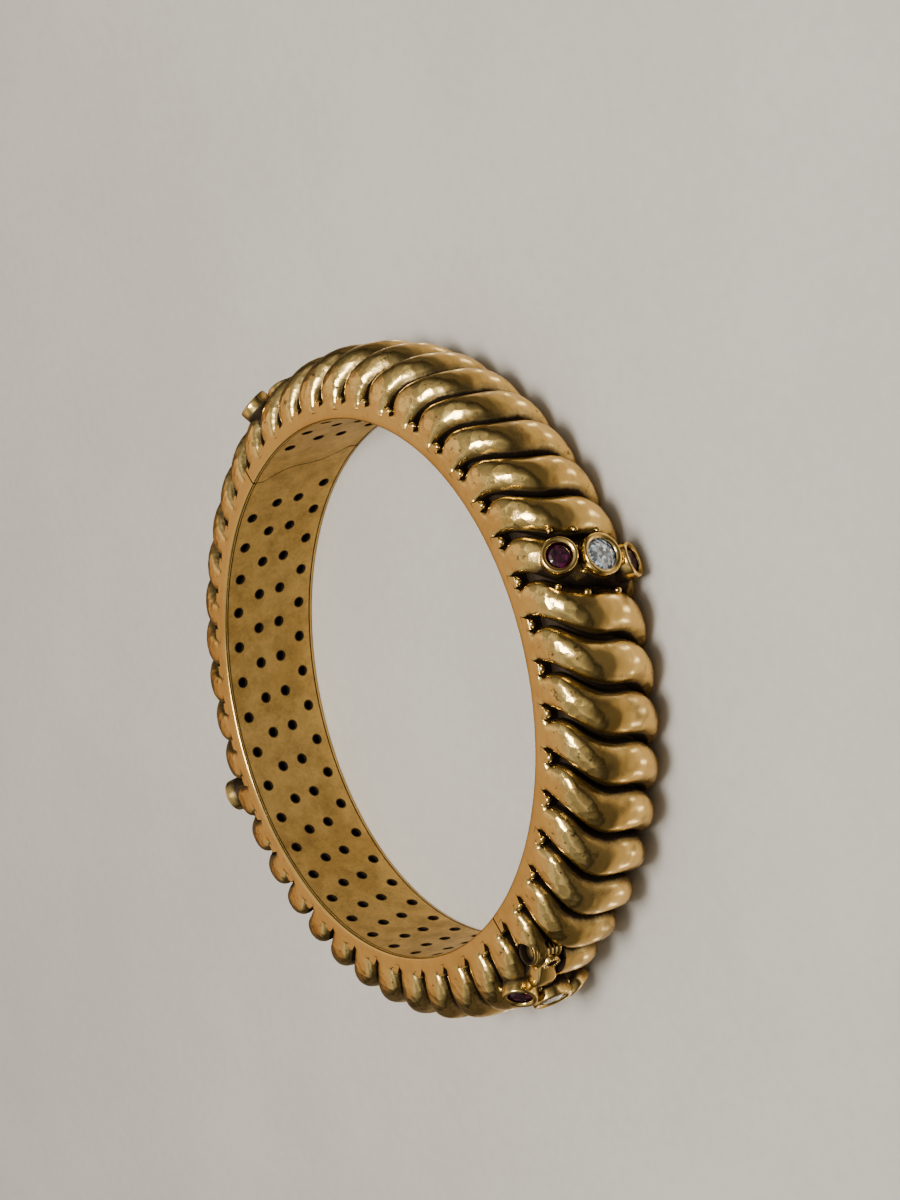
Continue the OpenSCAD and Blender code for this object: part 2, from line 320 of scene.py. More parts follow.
def rib_unit(sec):
    """One rib from groove middle to groove middle, open at both, as a mesh with its patina"""
    rows = band_rows(sec)
    count, total = len(rows[0][0]), len(rows)
    verts, faces, patina = [], [], []
    for i, (row, lean) in enumerate(rows):
        for x, r, z, p in row:
            verts.append(around(r, z, ((1 + x) / 2 - lean) * sec.step))
            patina.append(p)
        j = (i + 1) % total
        for k in range(count - 1):
            faces.append((i * count + k, i * count + k + 1, j * count + k + 1, j * count + k))
    mesh = bpy.data.meshes.new("rib_unit")
    mesh.from_pydata(verts, [], faces)
    mesh.attributes.new(PATINA, "FLOAT", "POINT").data.foreach_set("value", patina)
    return mesh


# Rings of a seam's end face from its outline inwards: how far in, how deep, and the patina or None to keep it
# The second ring is painted dark: painted shade of the gap between the two halves
SEAM_RINGS = ((0.0, 0.0, None), (0.05, 0.05, 2.3), (0.10, 0.05, 0.95))


def seam_cap(sec, bm, place, inwards):
    """Closes one end of a half, at a place in ribs from its start, with a dark ring of painted shade round a
    dull face
    """
    section = [(*row[-1][1:], lean) for row, lean in band_rows(sec)]
    points = [Vector((r, z, 0.0)) for r, z, _patina, _lean in section]
    layer = bm.verts.layers.float[PATINA]
    rings = []
    for inset, depth, dark in SEAM_RINGS:
        shift = inwards * depth / (sec.rim * sec.step)
        ring = []
        for i, (r, z, patina, lean) in enumerate(section):
            along = (points[(i + 1) % len(points)] - points[i - 1]).normalized()
            angle = (place + shift - lean) * sec.step
            vert = bm.verts.new(around(r + along.y * inset, z - along.x * inset, angle))
            vert[layer] = patina if dark is None else dark
            ring.append(vert)
        rings.append(ring)
    bridge(bm, rings)
    for corners in tessellate_polygon([points]):
        bm.faces.new([rings[-1][i] for i in corners])


# Node trees


class Wire:
    """One output of a node. Sums and products of wires are Math nodes, wire[name] is another output"""

    def __init__(self, made, outlet=0):
        self.node = made
        self.socket = made.outputs[outlet]
        self.tree = self.socket.id_data

    def __getitem__(self, outlet):
        return Wire(self.node, outlet)

    def __add__(self, other):
        return calculate("ADD", self, other)

    def __sub__(self, other):
        return calculate("SUBTRACT", self, other)

    def __rsub__(self, other):
        return calculate("SUBTRACT", other, self)

    def __mul__(self, other):
        return calculate("MULTIPLY", self, other)

    def __pow__(self, other):
        return calculate("POWER", self, other)

    def __abs__(self):
        return calculate("ABSOLUTE", self)


def feed(made, inputs):
    """Sets a node's inputs, by name or number, to plain values or to wires"""
    for inlet, value in inputs.items():
        if isinstance(value, Wire):
            value.tree.links.new(value.socket, made.inputs[inlet])
        else:
            made.inputs[inlet].default_value = value


def add_node(tree, kind, inputs, **options):
    made = tree.nodes.new(kind)
    for name, value in options.items():
        setattr(made, name, value)
    feed(made, inputs)
    return made


def wire(tree, kind, inputs=None, outlet=0, **options):
    """One output of a new node"""
    return Wire(add_node(tree, kind, inputs or {}, **options), outlet)


def calculate(operation, first, second=0.0):
    """A Math node on two values, at least one of them a wire"""
    tree = first.tree if isinstance(first, Wire) else second.tree
    return wire(tree, "ShaderNodeMath", {0: first, 1: second}, operation=operation)


def vector_math(operation, outlet=0, **inputs):
    """A Vector Math node with its inputs a, b and c, or scale"""
    places = {"a": 0, "b": 1, "c": 2, "scale": "Scale"}
    named = {places[name]: value for name, value in inputs.items()}
    return wire(inputs["a"].tree, "ShaderNodeVectorMath", named, outlet, operation=operation)


def new_tree(name, kind, inputs, outputs):
    """A node group whose inputs and outputs are given as a kind for each label"""
    tree = bpy.data.node_groups.new(name, kind)
    for way, sockets in (("INPUT", inputs), ("OUTPUT", outputs)):
        for label, socket in sockets.items():
            tree.interface.new_socket(label, in_out=way, socket_type="NodeSocket" + socket)
    return tree


# Geometry nodes


def copies_tree(name, inputs, seats):
    """A tree that sets copies of its input Unit on the points, turns and sizes from seats(tree, start)"""
    if name in bpy.data.node_groups:
        return bpy.data.node_groups[name]
    ports = {"Geometry": "Geometry", "Unit": "Object", **inputs, "Material": "Material"}
    tree = new_tree(name, "GeometryNodeTree", ports, {"Geometry": "Geometry"})
    start = wire(tree, "NodeGroupInput")
    unit = wire(tree, "GeometryNodeObjectInfo", {"Object": start["Unit"]}, "Geometry")
    copies = wire(tree, "GeometryNodeInstanceOnPoints", {"Instance": unit, **seats(tree, start)})
    real = wire(tree, "GeometryNodeRealizeInstances", {"Geometry": copies})
    welded = wire(tree, "GeometryNodeMergeByDistance", {"Geometry": real, "Distance": TREE_WELD})
    whole = wire(tree, "GeometryNodeRealizeInstances", {"Geometry": welded})
    painted = wire(tree, "GeometryNodeSetMaterial", {"Geometry": whole, "Material": start["Material"]})
    add_node(tree, "NodeGroupOutput", {"Geometry": painted})
    return tree


def ring_tree():
    """Copies a unit round the ring's axis"""

    def seats(tree, start):
        line = wire(tree, "GeometryNodeMeshLine", {"Count": start["Count"], "Offset": (0.0, 0.0, 0.0)})
        index = wire(tree, "GeometryNodeInputIndex")
        turn = {0: index, 1: start["Pitch"], 2: start["First"]}
        angle = wire(tree, "ShaderNodeMath", turn, operation="MULTIPLY_ADD")
        return {"Points": line, "Rotation": wire(tree, "ShaderNodeCombineXYZ", {"Z": angle})}

    return copies_tree("Units round the ring", {"Count": "Int", "First": "Float", "Pitch": "Float"}, seats)


def seats_tree():
    """Sets a unit on each point, turned and sized by the point's own attributes"""

    def seats(tree, start):
        kind = "GeometryNodeInputNamedAttribute"
        turn = wire(tree, kind, {"Name": "turn"}, "Attribute", data_type="FLOAT_VECTOR")
        size = wire(tree, kind, {"Name": "size"}, "Attribute", data_type="FLOAT")
        return {"Points": start["Geometry"], "Rotation": turn, "Scale": size}

    return copies_tree("Units on seats", {}, seats)


def add_object(name, data):
    obj = bpy.data.objects.new(name, data)
    bpy.context.scene.collection.objects.link(obj)
    return obj


def grow(name, mesh, tree, values):
    """Runs a tree on a mesh and keeps the result as a plain mesh object"""
    host = add_object(name, mesh)
    modifier = host.modifiers.new("Grow", "NODES")
    modifier.node_group = tree
    for item in tree.interface.items_tree:
        if item.item_type == "SOCKET" and item.in_out == "INPUT" and item.name in values:
            modifier[item.identifier] = values[item.name]
    graph = bpy.context.evaluated_depsgraph_get()
    grown = bpy.data.meshes.new_from_object(host.evaluated_get(graph))
    host.modifiers.clear()
    host.data = grown
    grown.name = name
    return host


def grow_ring(name, unit, count, first, step, metal):
    """A piece made of copies of a unit round the ring, from an angle in radians"""
    values = {"Unit": unit, "Count": count, "First": first, "Pitch": step, "Material": metal}
    return grow(name, bpy.data.meshes.new("seed"), ring_tree(), values)


def unit_object(name, mesh):
    obj = add_object(name, mesh)
    obj.hide_render = True
    return obj


def set_on_seats(name, unit_mesh, seats, metal):
    """A piece made of copies of a mesh, one for each (matrix, size)"""
    points = bpy.data.meshes.new(name + "_seats")
    points.from_pydata([tuple(m.to_translation()) for m, _size in seats], [], [])
    turns = [c for m, _size in seats for c in m.to_euler()]
    sizes = [size for _m, size in seats]
    points.attributes.new("turn", "FLOAT_VECTOR", "POINT").data.foreach_set("vector", turns)
    points.attributes.new("size", "FLOAT", "POINT").data.foreach_set("value", sizes)
    unit = unit_object(name + "_unit", unit_mesh)
    obj = grow(name, points, seats_tree(), {"Unit": unit, "Material": metal})
    bpy.data.objects.remove(unit)
    for label in ("turn", "size"):
        if label in obj.data.attributes:
            obj.data.attributes.remove(obj.data.attributes[label])
    return obj


# Mesh helpers


def finished(bm, name):
    mesh = bpy.data.meshes.new(name)
    bm.to_mesh(mesh)
    bm.free()
    return mesh


def face_outwards(bm):
    bmesh.ops.recalc_face_normals(bm, faces=bm.faces)


@contextmanager
def reworked(mesh):
    """Opens a mesh for changes and writes it back"""
    bm = bmesh.new()
    bm.from_mesh(mesh)
    yield bm
    bm.to_mesh(mesh)
    bm.free()


def circle(sides):
    return [2 * math.pi * i / sides for i in range(sides)]


def bridge(bm, rings):
    """Faces from each ring of points to the next, where a ring may be a single point"""
    for a, b in zip(rings, rings[1:]):
        for i in range(max(len(a), len(b))):
            j = i + 1
            corners = (a[i % len(a)], a[j % len(a)], b[j % len(b)], b[i % len(b)])
            bm.faces.new(tuple(dict.fromkeys(corners)))


def lathe(profile, sides, tube=False):
    """A mesh turned about Z from (radius, height) pairs: a tube, or else capped where it ends off the axis"""
    bm = bmesh.new()
    rings = []
    for r, z in profile:
        angles = circle(sides) if r else [0.0]
        rings.append([bm.verts.new((r * MM * math.cos(a), r * MM * math.sin(a), z * MM)) for a in angles])
    bridge(bm, rings + rings[:1] if tube else rings)
    for ring in (rings[0], rings[-1]):
        if len(ring) > 1 and not tube:
            bm.faces.new(ring)
    face_outwards(bm)
    return finished(bm, "turned")


def rod(radius, low, high, sides=32):
    return lathe([(0, low), (radius, low), (radius, high), (0, high)], sides)


def ball(radius, rings=8, sides=12):
    angles = [math.pi * i / rings for i in range(1, rings)]
    profile = [(radius * math.sin(a), -radius * math.cos(a)) for a in angles]
    return lathe([(0, -radius), *profile, (0, radius)], sides)


def block(low, high, place, cuts):
    """A box mesh between two corners, placed by a matrix, its faces cut into a grid"""
    bm = bmesh.new()
    bmesh.ops.create_cube(bm, size=1.0)
    bmesh.ops.subdivide_edges(bm, edges=bm.edges, cuts=cuts, use_grid_fill=True)
    for vert in bm.verts:
        for axis in range(3):
            vert.co[axis] = (low[axis] + (high[axis] - low[axis]) * (vert.co[axis] + 0.5)) * MM
    bm.transform(place)
    return finished(bm, "block")


def joined(name, parts):
    """One mesh object from (mesh, matrix) parts"""
    bm = bmesh.new()
    for mesh, place in parts:
        copy = mesh.copy()
        copy.transform(place)
        bm.from_mesh(copy)
        bpy.data.meshes.remove(copy)
    return add_object(name, finished(bm, name))


def volume(mesh):
    bm = bmesh.new()
    bm.from_mesh(mesh)
    found = bm.calc_volume()
    bm.free()
    return found


# A cut that leaves a smaller share of the metal than this has gone wrong
LEAST_LEFT = 0.8


def cut(obj, cutter):
    """Takes the cutter's shape out of obj for good"""
    before = volume(obj.data)
    modifier = obj.modifiers.new("Cut", "BOOLEAN")
    modifier.operation = "DIFFERENCE"
    modifier.solver = "EXACT"
    modifier.use_self = False
    modifier.object = cutter
    graph = bpy.context.evaluated_depsgraph_get()
    mesh = bpy.data.meshes.new_from_object(obj.evaluated_get(graph))
    obj.modifiers.clear()
    obj.data = mesh
    bpy.data.objects.remove(cutter)
    if not LEAST_LEFT * before < volume(mesh) <= before:
        raise RuntimeError(f"{obj.name}: a cut lost the metal")


def mark(obj, patina):
    """Sets the patina of each point of a piece from its place"""
    values = [patina(vert.co) for vert in obj.data.vertices]
    if PATINA in obj.data.attributes:
        obj.data.attributes.remove(obj.data.attributes[PATINA])
    obj.data.attributes.new(PATINA, "FLOAT", "POINT").data.foreach_set("value", values)


# Metres from the uncut metal past which a point belongs to a cut
CUT_FACE = 0.00002
# Metres that the darkening round a setting reaches along its axis, and out from its wall
CUP_REACH = 0.0026
CUP_SHADE = (0.0001, 0.0009)
CUP_PATINA = 0.6


def keep_marks(obj, before, cups):
    """Carries the patina of the uncut mesh over, and darkens the cuts and the metal round the cups"""
    tree = BVHTree.FromPolygons([v.co for v in before.vertices], [p.vertices for p in before.polygons])
    old = [point.value for point in before.attributes[PATINA].data]
    walls = [
        (m.to_translation(), m.to_3x3().col[2].normalized(), (seat + BEZEL_WALL) * MM) for m, seat in cups
    ]

    def patina(spot):
        _near, _normal, face, distance = tree.find_nearest(spot)
        if distance > CUT_FACE:
            return IN_GROOVE
        corners = before.polygons[face].vertices
        weights = [1 / ((before.vertices[c].co - spot).length + 1e-9) for c in corners]
        value = sum(old[c] * weight for c, weight in zip(corners, weights)) / sum(weights)
        for centre, axis, radius in walls:
            offset = spot - centre
            up = offset.dot(axis)
            if abs(up) < CUP_REACH:
                value += CUP_PATINA * (1 - smooth(*CUP_SHADE, (offset - axis * up).length - radius))
        return value

    mark(obj, patina)


def settle(obj, body, metal, crease):
    """Smooth shading up to an angle in degrees, the metal, and the body that the piece rides on"""
    mesh = obj.data
    mesh.polygons.foreach_set("use_smooth", [True] * len(mesh.polygons))
    mesh.set_sharp_from_angle(angle=math.radians(crease))
    mesh.materials.clear()
    mesh.materials.append(metal)
    mesh.update()
    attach(obj, body)


# Where things sit


def shifted(x, y, z):
    return Matrix.Translation(Vector((x, y, z)) * MM)


def turned(angle, axis="Z"):
    return Matrix.Rotation(angle, 4, axis)


def on_rib(sec, rib, place):
    """Where a setting stands: a matrix on a rib's crest with +Z outwards"""
    side = abs(1 - 2 * place)
    rise = rounded(side, sec.power)
    slope = side ** (sec.power - 1) / sec.half / (rise ** (sec.power - 1) / sec.dome)
    tilt = math.copysign(math.atan(slope), 1 - 2 * place)
    out = shifted(sec.rim + sec.dome * rise, 0.0, sec.width * (1 - place))
    return turned((rib + 0.5 - sec.lean_at(place)) * PITCH) @ out @ turned(math.pi / 2 - tilt, "Y")


def on_flank(sec, rib, place, side, proud):
    """Where a grain sits, side ribs away from a rib's crest, its middle proud of the metal by so many mm"""
    s = math.degrees(math.acos(signed_power(1 - 2 * place, sec.power / 2)))
    (rc, zc), (rf, zf) = sec.crest(s), sec.floor(s)
    across = min(abs(2 * (side - round(side))) / sec.fullness(s), 1.0)
    down = 1 - rounded(across, sec.rib_power(s)) - proud / math.hypot(rc - rf, zc - zf)
    angle = (rib + 0.5 + side - sec.lean(zc)) * PITCH
    return Matrix.Translation(around(rc + (rf - rc) * down, zc + (zf - zc) * down, angle))


def cups_of(sec, start):
    """Matrix and seat radius of each stone's cup in a half"""
    stones = [(place, RUBY_SEAT) for place in RUBY_PLACES] + [(DIAMOND_PLACE, DIAMOND_SEAT)]
    ribs = [rib for rib in STONE_RIBS if start <= rib < start + HALF_RIBS]
    return [(on_rib(sec, rib, place), seat) for rib in ribs for place, seat in stones]


def at_hinge():
    return turned(PIN_RIB * PITCH) @ Matrix.Translation(Vector((PIN_RADIUS * MM, 0.0, 0.0)))


def at_clasp(sec):
    """The clasp's tongue in the middle of the seam, along the arc that it draws round the hinge pin"""
    spot = around(CLASP_RADIUS, sec.half, (HALF_RIBS - sec.lean(sec.half)) * PITCH)
    away = spot - at_hinge().to_translation()
    return Matrix.Translation(spot) @ turned(math.atan2(away.y, away.x))


def off_axis(place, spot):
    """Distance of a point from the axis of a placed form"""
    local = place.inverted() @ spot
    return math.hypot(local.x, local.y) / MM


# Materials


def noise(where, scale, detail, roughness):
    inputs = {"Vector": where, "Scale": scale, "Detail": detail, "Roughness": roughness}
    return wire(where.tree, "ShaderNodeTexNoise", inputs, "Fac")


def ramp(value, low, high):
    """0 up to low, 1 from high, and a soft rise between them"""
    inputs = {"Value": value, "From Min": low, "From Max": high}
    return wire(value.tree, "ShaderNodeMapRange", inputs, "Result", interpolation_type="SMOOTHSTEP")


def blended(factor, first, second):
    return wire(factor.tree, "ShaderNodeMix", {0: factor, 6: first, 7: second}, 2, data_type="RGBA")


def axes_of(where):
    return wire(where.tree, "ShaderNodeSeparateXYZ", {0: where})


def opaque(tint, by=1.0):
    """A colour made lighter or darker, for a node's socket"""
    return (*(by * c for c in tint), 1)


# Ranges in metres over which the gilding changes: outwards from the rim, and up or down from mid band
RIBS_FROM = (0.0305, 0.0325)
SHOULDER_FROM = (0.0020, 0.0044)
SMUDGE_TO = (0.0026, 0.0052)
MID_BAND = 0.006


def gilding_group():
    """Worn gilding: colour, roughness, metallic mask and relief over the surface"""
    name = "Worn gilding"
    if name in bpy.data.node_groups:
        return bpy.data.node_groups[name]
    colours = dict.fromkeys(("Gold", "Deep gold", "Dull gold", "Tarnish"), "Color")
    amounts = dict.fromkeys(("Patina", "Tarnish from", "Tarnish to", "Polish", "Beaten"), "Float")
    outputs = {"Color": "Color", "Roughness": "Float", "Metallic": "Float", "Height": "Float"}
    tree = new_tree(name, "ShaderNodeTree", {**colours, **amounts}, outputs)
    start = wire(tree, "NodeGroupInput")
    where = wire(tree, "ShaderNodeTexCoord", outlet="Object")
    blotch = noise(where, 420.0, 4.0, 0.6)
    fine = noise(where, 2600.0, 3.0, 0.6)
    broad = noise(where, 130.0, 2.0, 0.5)
    smear = noise(where, 330.0, 2.0, 0.5)
    waves = noise(where, 480.0, 1.0, 0.4)
    specks = noise(where, 1400.0, 3.0, 0.6)
    # The patina creeps up the flanks unevenly
    uneven = (blotch - 0.5) * 0.55
    depth = start["Patina"] + (uneven + (fine - 0.5) * 0.3)
    dark = ramp(depth, start["Tarnish from"], start["Tarnish to"])
    # Where it is: off the middle of the band, and outside the side face
    place = axes_of(where)
    off_middle = abs(place["Z"] - MID_BAND)
    radius = (place["X"] ** 2.0 + place["Y"] ** 2.0) ** 0.5
    on_ribs = ramp(radius, *RIBS_FROM) * start["Beaten"]
    shoulder = ramp(off_middle, *SHOULDER_FROM) * on_ribs
    # Thick and thin places of the gilding, then the dull band beside the grooves and smudges in mid rib
    thick = ramp(broad * 0.6 + blotch * 0.4, 0.42, 0.66)
    metal = blended(thick, start["Gold"], start["Deep gold"])
    smudge = ramp(smear, 0.52, 0.68) * (1.0 - ramp(off_middle, *SMUDGE_TO)) * on_ribs
    dull = calculate("MAXIMUM", ramp(depth, 0.24, 0.86), smudge * 0.75)
    metal = blended(dull * 0.95, metal, start["Dull gold"])
    # Dark flecks, most of them among the hammer marks: painted dark reflections of the hammered facets, mixed
    # in with the patina
    painted_flecks = ramp(specks, 0.60, 0.70) * (shoulder * 0.55 + 0.15)
    patina_and_painted_flecks = calculate("MAXIMUM", dark, painted_flecks)
    scuffs = ramp(fine, 0.5, 0.8) * 0.08
    # Hammer marks near the two side faces, drawn out along the arm, slow waves elsewhere, and fine pits
    drawn = vector_math("MULTIPLY", a=where, b=(1.0, 1.0, 0.5))
    hammered = {"Vector": drawn, "Scale": 1250.0, "Smoothness": 0.3}
    dents = wire(tree, "ShaderNodeTexVoronoi", hammered, "Distance", feature="SMOOTH_F1")
    beats = (dents ** 2.0 - 0.25) * 0.45 + uneven
    swell = (waves - 0.5) * (on_ribs * 0.95 + 0.1)
    crust = dark * fine * 0.4
    add_node(tree, "NodeGroupOutput", {
        "Color": blended(patina_and_painted_flecks, metal, start["Tarnish"]),
        "Roughness": start["Polish"] + (scuffs + dull * 0.18) + dark * 0.3,
        "Metallic": 1.0 - dark * 0.15,
        "Height": beats * shoulder + swell + fine * 0.03 + crust,
    })
    return tree


def new_material(name):
    """A material with its node tree and its shader"""
    material = bpy.data.materials.new(name)
    material.use_nodes = True
    return material, material.node_tree, material.node_tree.nodes["Principled BSDF"]


# Depth in metres of the relief at full strength
RELIEF_DEPTH = 0.0003


def gold_material(name, polish, relief, beaten=0.0, tarnish_from=0.78, tarnish_to=1.12):
    """Gilt metal that darkens with the patina of its points"""
    if name in bpy.data.materials:
        return bpy.data.materials[name]
    finish = bpy.context.scene.kada_finish
    material, tree, shader = new_material(name)
    gilding = wire(tree, "ShaderNodeGroup", {
        "Patina": wire(tree, "ShaderNodeAttribute", outlet="Fac", attribute_name=PATINA),
        "Gold": opaque(finish.gold),
        "Deep gold": opaque(finish.gold_deep),
        "Dull gold": opaque(finish.gold_dull),
        "Tarnish": opaque(finish.tarnish),
        "Tarnish from": tarnish_from,
        "Tarnish to": tarnish_to,
        "Polish": polish,
        "Beaten": beaten,
    }, node_tree=gilding_group())
    bumps = {"Strength": relief, "Distance": RELIEF_DEPTH, "Height": gilding["Height"]}
    feed(shader, {
        "Base Color": gilding["Color"],
        "Roughness": gilding["Roughness"],
        "Metallic": gilding["Metallic"],
        "Normal": wire(tree, "ShaderNodeBump", bumps),
    })
    return material


def stone_material(name, tint, dark, sparkle, rare, ior, clear):
    """A cut stone in a closed setting: painted reflections of dark and light facets, and painted glints that
    glow out of a rare few of them
    """
    if name in bpy.data.materials:
        return bpy.data.materials[name]
    material, tree, shader = new_material(name)
    where = wire(tree, "ShaderNodeTexCoord", outlet="Object")
    painted_facets = wire(tree, "ShaderNodeTexVoronoi", {"Scale": 3000.0, "Vector": where}, "Color")
    level = wire(tree, "ShaderNodeSeparateColor", {0: painted_facets})
    # Painted reflections: facets lighter and darker by a cell pattern, and painted glints glowing out of the
    # rarest cells
    feed(shader, {
        "Base Color": blended(ramp(level, 0.35, 0.75), opaque(tint, dark), opaque(tint)),
        "Emission Color": blended(ramp(level, rare, 0.97), (0, 0, 0, 1), opaque(tint, sparkle)),
        "Emission Strength": 1.0,
        "Roughness": 0.03,
        "Metallic": 0.0,
        "IOR": ior,
        "Transmission Weight": clear,
    })
    return material


# Operators


# A cup's pocket in the rib: how far it stands in from the bezel's outside, and its bottom and top
CUP_POCKET = (0.35, -1.5, 1.6)
# Two corners of the window for the gate's knuckle, from the pin, and of the slot, from the tongue's middle
HINGE_WINDOW = ((-1.5, -8.0, 7.3), (3.4, 1.9, 9.9))
TONGUE_SLOT = ((-0.8, -3.2, -2.2), (0.8, 1.0, 2.2))
# The mouth above the pin: radius, bottom and top
PIN_MOUTH = (1.12, 9.0, 13.0)
# A tab's rounded end: half sizes outwards, round the ring and along the arm, its radius and its inset
TAB_END = (0.36, 0.46, 0.36)
TAB_END_RADIUS = 31.0
TAB_END_INSET = 0.01


class KADA_OT_ribs(bpy.types.Operator):
    """Ribbed shell of each half, with its side faces, tabs, notches and seam faces"""

    bl_idname = "kada.ribs"
    bl_label = "Ribbed band"

    def execute(self, context):
        sec = Section(context.scene.kada_band)
        metal = gold_material("Gilt_ribs", context.scene.kada_finish.polish, relief=0.55, beaten=1.0)
        unit = unit_object("rib_unit", rib_unit(sec))
        for body, start in HALVES.items():
            first = start * PITCH + sec.gap / 2
            obj = grow_ring(body + "_ribs", unit, HALF_RIBS, first, sec.step, metal)
            with reworked(obj.data) as bm:
                bm.transform(turned(-first))
                seam_cap(sec, bm, 0, 1)
                seam_cap(sec, bm, HALF_RIBS, -1)
                bmesh.ops.remove_doubles(bm, verts=bm.verts, dist=WELD)
                face_outwards(bm)
                bm.transform(turned(-first).inverted())
            cups = cups_of(sec, start)
            before = obj.data.copy()
            for parts in self.cutters(sec, body, cups):
                cut(obj, joined("cutter", parts))
            keep_marks(obj, before, cups)
            settle(obj, body, metal, crease=38)
            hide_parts(body + "_half")
            self.tab_ends(sec, body, first, metal)
        bpy.data.objects.remove(unit)
        return {"FINISHED"}

    def cutters(self, sec, body, cups):
        """What is cut out of a half, one list of (mesh, matrix) parts for each cut"""
        inset, low, high = CUP_POCKET
        found = [[(rod(seat + BEZEL_WALL - inset, low, high), m) for m, seat in cups]]
        if body == "fixed":
            found.append([(block(*HINGE_WINDOW, at_hinge(), cuts=11), Matrix())])
            found.append([(rod(*PIN_MOUTH), at_hinge())])
            found.append([(block(*TONGUE_SLOT, at_clasp(sec), cuts=3), Matrix())])
        return found

    def tab_ends(self, sec, body, first, metal):
        """Rounded ends of the tabs that close each groove's mouth at the two side faces"""
        bead = ball(1.0, rings=8, sides=14)
        bead.transform(Matrix.Diagonal((*TAB_END, 1.0)))
        inset = TAB_END[2] + TAB_END_INSET
        seats = []
        for z, lean in ((sec.width - inset, 0.0), (inset, sec.lean(0.0))):
            for i in range(1, HALF_RIBS):
                angle = first + (i - lean) * sec.step
                seats.append((Matrix.Translation(around(TAB_END_RADIUS, z, angle)) @ turned(angle), 1.0))
        ends = set_on_seats(body + "_tab_ends", bead, seats, metal)
        mark(ends, lambda spot: 0.2)
        settle(ends, body, metal, crease=60)


# The lining's edges from the side faces, its front and back from the wrist, and the points round a hole
LINING_EDGE = 0.5
LINING_FRONT, LINING_BACK = 0.02, 0.42
HOLE_SIDES = 12
# The dark halo round a hole, the sheet's patina, what a hole's edge has more than that, and the back's
HALO = 0.2
SHEET_PATINA, HOLE_PATINA, BACK_PATINA = 0.45, 1.15, 2.5
# Ribs at the start of each half, and at its end, where the sheet is plain
PLAIN_START = {"fixed": 2, "gate": 1}
PLAIN_END = 1


